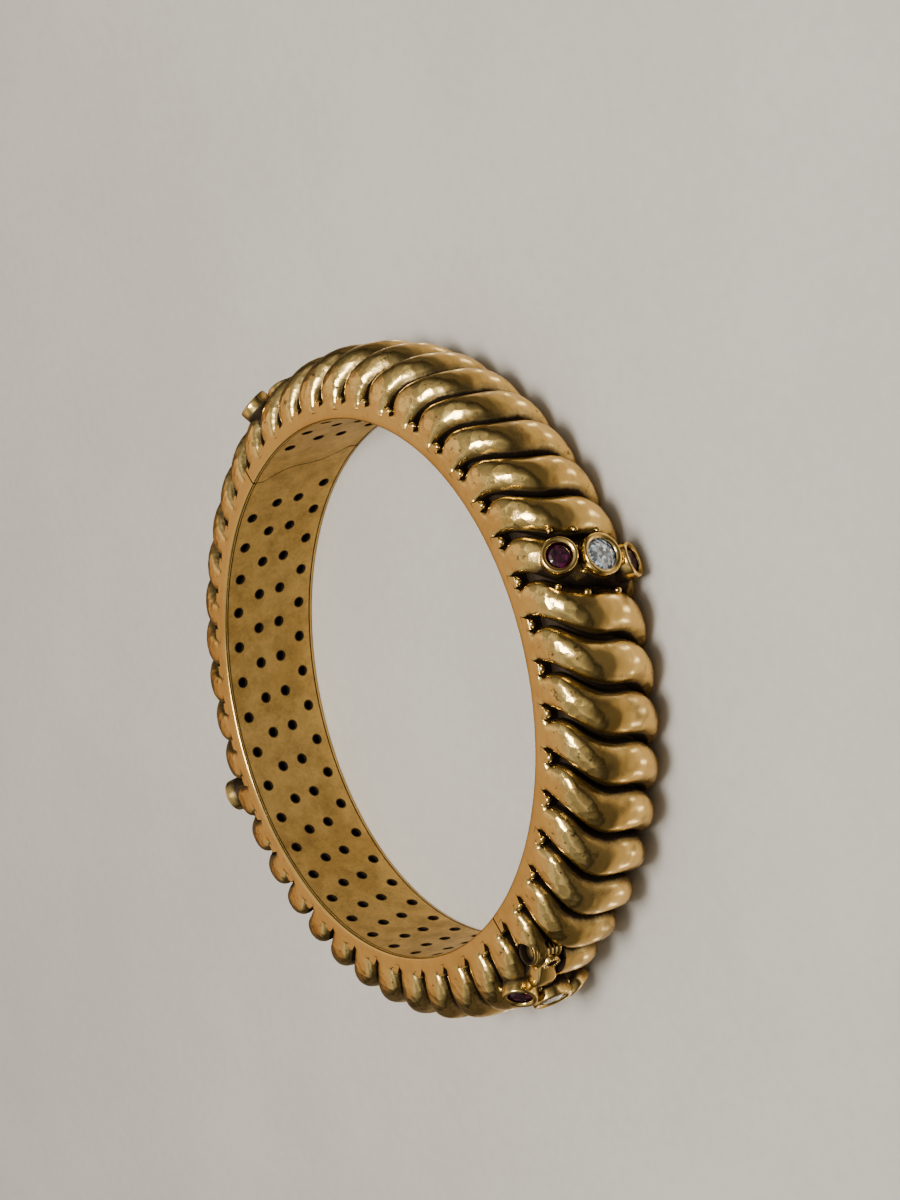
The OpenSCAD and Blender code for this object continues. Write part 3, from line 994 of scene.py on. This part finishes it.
class KADA_OT_lining(bpy.types.Operator):
    """Pierced lining of each half: slanted columns of holes at the ribs' pitch"""

    bl_idname = "kada.lining"
    bl_label = "Pierced lining"

    def execute(self, context):
        sec = Section(context.scene.kada_band)
        metal = gold_material("Gilt_lining", polish=0.3, relief=0.4, tarnish_from=0.85, tarnish_to=1.3)
        pierced = unit_object("pierced_unit", self.strip(sec, True))
        plain = unit_object("plain_unit", self.strip(sec, False))
        for body, start in HALVES.items():
            first = start * PITCH + sec.gap / 2
            begin, end = PLAIN_START[body], HALF_RIBS - PLAIN_END
            parts = []
            for unit, low, high in ((plain, 0, begin), (pierced, begin, end), (plain, end, HALF_RIBS)):
                part = grow_ring(body + "_part", unit, high - low, first + low * sec.step, sec.step, metal)
                parts.append((part.data.copy(), Matrix()))
                bpy.data.objects.remove(part)
            obj = joined(body + "_lining", parts)
            with reworked(obj.data) as bm:
                bmesh.ops.remove_doubles(bm, verts=bm.verts, dist=WELD)
                bmesh.ops.holes_fill(bm, edges=[e for e in bm.edges if e.is_boundary], sides=0)
                face_outwards(bm)
            self.darken(obj, sec, first, range(begin, end))
            settle(obj, body, metal, crease=40)
        bpy.data.objects.remove(pierced)
        bpy.data.objects.remove(plain)
        return {"FINISHED"}

    def strip(self, sec, pierced):
        """One pitch of the lining, closed at its top and bottom edges, open at its sides"""
        bm = bmesh.new()

        def ring(spots, r, lean=None):
            """Points at spots (pitches along, height) that lean as the groove does there, or all alike"""
            return [
                bm.verts.new(around(r, z, (u - (sec.seam_lean(z) if lean is None else lean)) * sec.step))
                for u, z in spots
            ]

        front, back = sec.wrist + LINING_FRONT, sec.wrist + LINING_BACK
        cell = (sec.width - 2 * LINING_EDGE) / sec.hole_rows
        spread = 1 + HALO / sec.hole
        quarter = HOLE_SIDES // 4
        for row in range(sec.hole_rows):
            low = LINING_EDGE + row * cell
            middle = low + cell / 2
            lean = sec.seam_lean(middle)
            border, hole = [], []
            for i in range(HOLE_SIDES):
                side, part = divmod(i, quarter)
                t = part / quarter
                u, w = ((t, 0.0), (1.0, t), (1 - t, 1.0), (0.0, 1 - t))[side]
                border.append((u, low + w * cell))
                angle = math.radians(225 + 360 * i / HOLE_SIDES)
                along = sec.hole * math.cos(angle) / (sec.wrist * sec.step)
                hole.append((0.5 + along, middle + sec.hole * math.sin(angle)))
            halo = [(0.5 + (u - 0.5) * spread, middle + (z - middle) * spread) for u, z in hole]
            bend = lean if pierced else None
            outer, inner = ring(border, front), ring(hole, front, bend)
            outer_back, inner_back = ring(border, back), ring(hole, back, bend)
            shade = ring(halo, front, lean)
            for i in range(HOLE_SIDES):
                j = (i + 1) % HOLE_SIDES
                bm.faces.new((outer[i], outer[j], shade[j], shade[i]))
                bm.faces.new((shade[i], shade[j], inner[j], inner[i]))
                bm.faces.new((outer_back[j], outer_back[i], inner_back[i], inner_back[j]))
                if pierced:
                    bm.faces.new((inner[i], inner[j], inner_back[j], inner_back[i]))
            if not pierced:
                bm.faces.new(inner)
                bm.faces.new(inner_back[::-1])
            low_edge = range(quarter) if row == 0 else ()
            high_edge = range(2 * quarter, 3 * quarter) if row == sec.hole_rows - 1 else ()
            for i in (*low_edge, *high_edge):
                bm.faces.new((outer[i + 1], outer[i], outer_back[i], outer_back[i + 1]))
        return finished(bm, "lining_strip")

    def darken(self, obj, sec, first, pierced):
        """Darkens the holes' edges and the back of the sheet"""
        cell = (sec.width - 2 * LINING_EDGE) / sec.hole_rows

        def patina(spot):
            z = spot.z / MM
            if math.hypot(spot.x, spot.y) / MM > sec.wrist + (LINING_FRONT + LINING_BACK) / 2:
                return BACK_PATINA
            row = min(max(int((z - LINING_EDGE) / cell), 0), sec.hole_rows - 1)
            middle = LINING_EDGE + (row + 0.5) * cell
            angle = math.atan2(spot.y, spot.x) % (2 * math.pi)
            place = (angle - first) / sec.step + sec.seam_lean(middle)
            along = (place % 1.0 - 0.5) * sec.step * sec.wrist
            away = math.hypot(along, z - middle) - sec.hole
            near = 1 - smooth(0.0, HALO, away) if math.floor(place) in pierced else 0.0
            return SHEET_PATINA + HOLE_PATINA * near

        mark(obj, patina)


# Grains of one row of stones: place across the band, ribs away from the stones' rib, how far they stand
# proud, and size. Those past the hinge's seam are left out
GRAINS = (
    (0.20, 0.62, 0.10, 1.0),
    (0.42, 0.64, 0.10, 1.0),
    (0.70, 0.62, 0.10, 1.0),
    (0.12, -0.62, 0.08, 1.0),
    (0.33, -0.62, 0.08, 1.1),
    (0.69, -0.62, 0.08, 1.1),
    (0.345, 0.23, 0.12, 0.8),
    (0.345, -0.23, 0.12, 0.8),
    (0.665, 0.23, 0.12, 0.8),
    (0.665, -0.23, 0.12, 0.8),
)
GRAIN_RADIUS = 0.36
# A bezel's top, and its rim: distance in from the bezel's outside and below the top, then out from the seat
BEZEL_TOP = 1.1
RIM_OUTSIDE = ((0.0, 0.26), (0.03, 0.13), (0.11, 0.03), (0.22, 0.0), (0.34, 0.03))
RIM_INSIDE = ((-0.02, 0.11), (-0.11, 0.2), (-0.13, 0.3), (-0.04, 0.38), (0.05, 0.48))


class KADA_OT_settings(bpy.types.Operator):
    """Bezels of the stones and the gold grains beside them"""

    bl_idname = "kada.settings"
    bl_label = "Bezels and grains"

    def execute(self, context):
        sec = Section(context.scene.kada_band)
        metal = gold_material("Gilt_bezels", polish=0.14, relief=0.12)
        for body, start in HALVES.items():
            for name, seat in (("ruby_bezels", RUBY_SEAT), ("diamond_bezels", DIAMOND_SEAT)):
                chosen = [(m, 1.0) for m, found in cups_of(sec, start) if found == seat]
                obj = set_on_seats(f"{body}_{name}", self.bezel(seat), chosen, metal)
                self.darken(obj, chosen, seat)
                settle(obj, body, metal, crease=50)
            grains = [
                (on_flank(sec, rib, place, side, proud), size)
                for rib in STONE_RIBS for place, side, proud, size in GRAINS
                if start <= rib + 0.5 + side < start + HALF_RIBS
            ]
            obj = set_on_seats(body + "_grains", ball(GRAIN_RADIUS), grains, metal)
            mark(obj, lambda spot: 0.3)
            settle(obj, body, metal, crease=60)
        return {"FINISHED"}

    def bezel(self, seat):
        """A cup with a broad rounded rim, its foot sunk in the rib"""
        outer = seat + BEZEL_WALL
        profile = [(0, -1.3), (outer - 0.12, -1.3), (outer, -1.15), (outer, 0.0), (outer, 0.5)]
        profile += [(outer - inwards, BEZEL_TOP - down) for inwards, down in RIM_OUTSIDE]
        profile += [(seat + outwards, BEZEL_TOP - down) for outwards, down in RIM_INSIDE]
        profile += [(seat + 0.05, 0.1), (seat - 0.3, -0.45), (0, -0.75)]
        return lathe(profile, sides=40)

    def darken(self, obj, seats, seat):
        """Darkens the cup's inside and the foot"""
        frames = [m.inverted() for m, _size in seats]

        def patina(spot):
            local = min((f @ spot for f in frames), key=lambda p: p.length)
            z = local.z / MM
            if math.hypot(local.x, local.y) / MM < seat + 0.2:
                return 2.0 * (1 - smooth(0.55, 0.95, z))
            return 1.5 * (1 - smooth(-0.4, 0.6, z))

        mark(obj, patina)


# Profiles about the hinge pin, as (radius, height), with rings that stand out of them
TOP_KNUCKLE = (
    (0.58, 9.95), (1.12, 9.95), (1.28, 10.03), (1.33, 10.13), (1.28, 10.22), (1.2, 10.27), (1.28, 10.33),
    (1.35, 10.43), (1.3, 10.53), (1.22, 10.58), (1.3, 10.64), (1.38, 10.78), (1.39, 10.95), (1.33, 11.1),
    (1.22, 11.19), (1.11, 11.2), (1.03, 11.14), (0.99, 11.02), (0.97, 10.4), (0.58, 10.3),
)
BARREL = (
    (0.66, 7.5), (1.12, 7.5), (1.22, 7.56), (1.26, 7.68), (1.26, 7.95), (1.16, 8.06), (1.26, 8.18),
    (1.26, 8.46), (1.16, 8.58), (1.26, 8.7), (1.26, 8.98), (1.16, 9.1), (1.26, 9.22), (1.26, 9.52),
    (1.22, 9.64), (1.12, 9.7), (0.66, 9.7),
)
# Height of the middle of the opening half's knuckle
KNUCKLE_MIDDLE = 8.6
# The arm from inside the gate's last rib to the barrel: y, middle x, half width in x and half height in z
ARM_STATIONS = (
    (-4.6, 1.0, 0.9, 1.0),
    (-3.4, 1.15, 1.3, 1.25),
    (-2.4, 0.95, 1.45, 1.3),
    (-1.5, 0.45, 1.3, 1.2),
    (-0.8, 0.15, 1.15, 1.08),
    (0.0, 0.0, 1.15, 1.02),
    (0.5, 0.0, 0.9, 0.9),
)
ARM_SIDES = 28
ARM_ROUNDING = 0.42
# The boss on the knuckle: its middle from the pin, its profile, and the ring of beads round its dimple
BOSS_PLACE = (0.3, -0.42, KNUCKLE_MIDDLE + 0.15)
BOSS = (
    (0, 0.4), (0.98, 0.4), (1.0, 0.5), (1.0, 1.32), (0.94, 1.4), (0.6, 1.42), (0.5, 1.36), (0.42, 1.24),
    (0, 1.2),
)
BEADS = 18
BEAD_RING = (0.83, 1.4)
BEAD_RADIUS = 0.135


class KADA_OT_hinge(bpy.types.Operator):
    """Hinge: the top knuckle with its pin hole, and the gate's arm, ridged barrel and beaded boss"""

    bl_idname = "kada.hinge"
    bl_label = "Hinge"

    def execute(self, context):
        metal = gold_material("Gilt_hinge", polish=0.16, relief=0.2)
        hinge = at_hinge()
        self.knuckle("hinge_top_knuckle", TOP_KNUCKLE, (1.0, 1.21, 1.29), "fixed", metal, crease=45)

        arm = joined("gate_arm", [(self.arm_mesh(), hinge)])
        mark(arm, lambda spot: 0.2 + 1.4 * (1 - smooth(0.1, 1.0, (hinge.inverted() @ spot).x / MM)))
        settle(arm, "gate", metal, crease=55)
        self.knuckle("gate_barrel", BARREL, (1.1, 1.16, 1.22), "gate", metal, crease=55)

        face = hinge @ shifted(*BOSS_PLACE) @ turned(math.pi / 2, "Y")
        disc = joined("hinge_boss", [(lathe(BOSS, sides=40), face)])
        mark(disc, lambda spot: 1.8 * (1 - smooth(0.4, 0.58, off_axis(face, spot))))
        settle(disc, "gate", metal, crease=45)

        out, up = BEAD_RING
        beads = [(face @ shifted(out * math.cos(a), out * math.sin(a), up), 1.0) for a in circle(BEADS)]
        ring = set_on_seats("hinge_beads", ball(BEAD_RADIUS, rings=6, sides=10), beads, metal)
        mark(ring, lambda spot: 0.1)
        settle(ring, "gate", metal, crease=60)
        return {"FINISHED"}

    def knuckle(self, name, profile, darkened, body, metal, crease):
        """A turned knuckle, its bore painted dark as painted shade, and dark between its rings: darkened has
        the radii of these
        """
        obj = joined(name, [(lathe(profile, sides=48, tube=True), at_hinge())])
        bore, foot, top = darkened

        def patina(spot):
            out = off_axis(at_hinge(), spot)
            # Inside the bore the metal is painted black: painted shade of the hole
            return 2.2 if out < bore else 1.5 * (1 - smooth(foot, top, out))

        mark(obj, patina)
        settle(obj, body, metal, crease)

    def arm_mesh(self):
        """The arm, which swells where it leaves the rib"""
        bm = bmesh.new()
        rings = []
        for y, x, wide, tall in ARM_STATIONS:
            ring = []
            for a in circle(ARM_SIDES):
                across = x + wide * signed_power(math.cos(a), ARM_ROUNDING)
                up = KNUCKLE_MIDDLE + tall * signed_power(math.sin(a), ARM_ROUNDING)
                ring.append(bm.verts.new((across * MM, y * MM, up * MM)))
            rings.append(ring)
        bridge(bm, rings)
        bm.faces.new(rings[0])
        bm.faces.new(rings[-1])
        face_outwards(bm)
        return finished(bm, "arm")


class KADA_OT_stones(bpy.types.Operator):
    """Finish of the stones, the hinge pin and the clasp's tongue, which keep their solid shapes"""

    bl_idname = "kada.stones"
    bl_label = "Stones and small parts"

    def execute(self, context):
        finish = context.scene.kada_finish
        ruby = stone_material("Ruby", finish.ruby, dark=0.2, sparkle=1.2, rare=0.80, ior=1.77, clear=0.5)
        diamond = stone_material(
            "Diamond", finish.diamond, dark=0.25, sparkle=0.45, rare=0.72, ior=2.2, clear=0.4
        )
        plain = gold_material("Gilt_plain", polish=0.25, relief=0.15)
        finishes = {"ruby": ruby, "diamond": diamond, "hinge_pin": plain, "clasp_tongue": plain}
        for name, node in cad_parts.items():
            for start, chosen in finishes.items():
                if not name.startswith(start):
                    continue
                if not node.material_slots:
                    node.data.materials.append(chosen)
                for slot in node.material_slots:
                    slot.material = chosen
        return {"FINISHED"}


# Azimuth and elevation of the softbox overhead in degrees, its distance and size in metres, and its colour
KEY_FROM = (75, 72)
KEY_DISTANCE = 0.45
KEY_SIZE = 0.17
KEY_TINT = (1.0, 0.96, 0.88)
# Soft glows in the sky: azimuth, elevation, angles of the full core and of the faded edge, colour
SKY_GLOWS = (
    (*KEY_FROM, 8, 26, (1.7, 1.5, 1.15)),
    (238, 34, 6, 44, (0.54, 0.26, 0.075)),
)
SKY_LOW = (0.05, 0.045, 0.038, 1)
SKY_HIGH = (0.50, 0.47, 0.41, 1)
SKY_STRIPS = (0.50, 0.46, 0.38)
BACKDROP = (0.24, 0.22, 0.185, 1)
# Half the floor's side, in metres
FLOOR_HALF = 2.5
# The floor as the metal alone reflects it, with painted shade: metres from the axis over which it brightens
# under the bangle and falls off to dark outside it, and over which each rib's painted glint comes and goes
FLOOR_INSIDE = (0.024, 0.034)
FLOOR_FALLOFF = (0.0375, 0.054)
GLINT_RISE = (0.0385, 0.0396)
GLINT_FALL = (0.0398, 0.0415)
# Warm tint that the floor takes in the metal's reflections alone: a painted reflection
PAINTED_REFLECTION_TINT = (0.93, 0.78, 0.60, 1)
# Colour of the painted glints, a glow of the floor that no lamp gives
GLINT_TINT = (1.0, 0.97, 0.92, 1)
# The camera's own right and its line of sight, as the photograph has them, roll and all
CAMERA_RIGHT = (0.4523, 0.3779, -0.8079)
CAMERA_FORWARD = (-0.4363, -0.6963, -0.5699)


def toward(azimuth, elevation):
    """The direction with an azimuth and an elevation in degrees"""
    a, e = math.radians(azimuth), math.radians(elevation)
    return Vector((math.cos(a) * math.cos(e), math.sin(a) * math.cos(e), math.sin(e)))


class KADA_OT_stage(bpy.types.Operator):
    """Pale floor, soft lights and the camera"""

    bl_idname = "kada.stage"
    bl_label = "Stage"

    def execute(self, context):
        stage = context.scene.kada_stage
        self.floor(stage)
        self.sky(context, stage)
        self.key_light(stage)
        self.camera(context, stage)
        return {"FINISHED"}

    def floor(self, stage):
        mesh = bpy.data.meshes.new("floor")
        corners = [(x * FLOOR_HALF, y * FLOOR_HALF, 0) for x, y in ((-1, -1), (1, -1), (1, 1), (-1, 1))]
        mesh.from_pydata(corners, [], [(0, 1, 2, 3)])
        floor = add_object("floor", mesh)
        material, tree, shader = new_material("Pale_floor")
        where = wire(tree, "ShaderNodeTexCoord", outlet="Object")
        mixed = noise(where, 22.0, 4.0, 0.6) * 0.7 + noise(where, 700.0, 2.0, 0.6) * 0.3
        plain = blended(ramp(mixed, 0.35, 0.65), opaque(stage.floor, 0.9), opaque(stage.floor))
        # In the metal's reflections alone, painted shade darkens the floor away from the bangle, and a
        # painted tint warms it
        place = axes_of(where)
        flat = wire(tree, "ShaderNodeCombineXYZ", {"X": place["X"], "Y": place["Y"]})
        away = vector_math("LENGTH", "Value", a=flat)
        near = 1.0 - ramp(away, *FLOOR_FALLOFF) * 0.9
        shade = near * (ramp(away, *FLOOR_INSIDE) * 0.5 + 0.5)
        mirrored = wire(tree, "ShaderNodeLightPath", outlet="Is Glossy Ray")
        dim = wire(tree, "ShaderNodeMix", {0: mirrored, 2: 1.0, 3: shade}, data_type="FLOAT")
        reflection_tint = blended(mirrored, (1, 1, 1, 1), PAINTED_REFLECTION_TINT)
        # A painted glint for each rib: a ring of glowing spots on the floor beside the ribs' foot, seen in
        # the metal alone
        band = ramp(away, *GLINT_RISE) * (1.0 - ramp(away, *GLINT_FALL))
        azimuth = calculate("ARCTAN2", place["Y"], place["X"])
        wave = calculate("COSINE", azimuth * (2.0 * HALF_RIBS) + 0.4 * math.pi)
        glint = band * ((wave * 0.5 + 0.5) ** 5.0 + 0.05)
        feed(shader, {
            "Roughness": 0.65,
            "Base Color": vector_math("MULTIPLY", a=vector_math("SCALE", a=plain, scale=dim), b=reflection_tint),
            "Emission Color": GLINT_TINT,
            "Emission Strength": glint * mirrored * 3.2,
        })
        mesh.materials.append(material)

    def sky(self, context, stage):
        """Soft light from all round, darker towards the floor, and a plain backdrop for the camera"""
        world = bpy.data.worlds.new("Studio")
        context.scene.world = world
        world.use_nodes = True
        tree = world.node_tree
        direction = wire(tree, "ShaderNodeTexCoord", outlet="Generated")
        axes = axes_of(direction)
        light = blended(ramp(axes["Z"], 0.02, 0.9), SKY_LOW, SKY_HIGH)
        # Slow bright strips overhead, as in a light tent
        wave = calculate("COSINE", calculate("ARCTAN2", axes["Y"], axes["X"]) * 5.0)
        strips = (wave * 0.5 + 0.5) ** 3.0 * ramp(axes["Z"], 0.25, 0.65)
        light = vector_math("MULTIPLY_ADD", a=strips, b=SKY_STRIPS, c=light)
        for azimuth, elevation, inner, outer, tint in SKY_GLOWS:
            facing = vector_math("DOT_PRODUCT", "Value", a=direction, b=toward(azimuth, elevation))
            glow = ramp(facing, math.cos(math.radians(outer)), math.cos(math.radians(inner)))
            light = vector_math("MULTIPLY_ADD", a=glow, b=tint, c=light)
        seen = wire(tree, "ShaderNodeLightPath", outlet="Is Camera Ray")
        feed(tree.nodes["Background"], {"Color": blended(seen, light, BACKDROP), "Strength": stage.sky})

    def key_light(self, stage):
        light = bpy.data.lights.new("Key", "AREA")
        light.shape = "RECTANGLE"
        light.size = light.size_y = KEY_SIZE
        light.energy = stage.key
        light.color = KEY_TINT
        away = toward(*KEY_FROM)
        lamp = add_object("Key", light)
        lamp.location = Vector((0, 0, MID_BAND)) + away * KEY_DISTANCE
        lamp.rotation_euler = away.to_track_quat("Z", "Y").to_euler()

    def camera(self, context, stage):
        """The photograph's own view: the camera looks down at the side face, rolled as the photograph is"""
        forward = Vector(CAMERA_FORWARD).normalized()
        up = Vector(CAMERA_RIGHT).normalized().cross(forward).normalized()
        right = forward.cross(up)
        data = bpy.data.cameras.new("Camera")
        data.sensor_width = 36.0
        data.lens = stage.focal
        data.clip_start, data.clip_end = 0.01, 20.0
        camera = add_object("Camera", data)
        turn = Matrix((right, up, -forward)).transposed().to_4x4()
        camera.matrix_world = Matrix.Translation(Vector(stage.camera_at)) @ turn
        context.scene.camera = camera


class KADA_PT_panel(bpy.types.Panel):
    """Buttons and sizes of the kada"""

    bl_label = "Kada bracelet"
    bl_idname = "KADA_PT_panel"
    bl_space_type = "VIEW_3D"
    bl_region_type = "UI"
    bl_category = "Kada"

    def draw(self, context):
        layout = self.layout
        for title, (name, _group_class) in zip(("Band", "Finish", "Stage"), SETTINGS):
            box = layout.box()
            box.label(text=title)
            settings = getattr(context.scene, name)
            for label in settings.__annotations__:
                box.prop(settings, label)
        for operator in OPERATORS:
            layout.operator(operator.bl_idname)


OPERATORS = (KADA_OT_ribs, KADA_OT_lining, KADA_OT_settings, KADA_OT_hinge, KADA_OT_stones, KADA_OT_stage)
SETTINGS = (("kada_band", KadaBand), ("kada_finish", KadaFinish), ("kada_stage", KadaStage))


def register():
    for name, group_class in SETTINGS:
        bpy.utils.register_class(group_class)
        setattr(bpy.types.Scene, name, bpy.props.PointerProperty(type=group_class))
    for operator in OPERATORS:
        bpy.utils.register_class(operator)
    bpy.utils.register_class(KADA_PT_panel)


def unregister():
    bpy.utils.unregister_class(KADA_PT_panel)
    for operator in reversed(OPERATORS):
        bpy.utils.unregister_class(operator)
    for name, group_class in reversed(SETTINGS):
        delattr(bpy.types.Scene, name)
        bpy.utils.unregister_class(group_class)


def main():
    register()
    bpy.ops.kada.ribs()
    bpy.ops.kada.lining()
    bpy.ops.kada.settings()
    bpy.ops.kada.hinge()
    bpy.ops.kada.stones()
    bpy.ops.kada.stage()


if __name__ == "__main__":
    main()
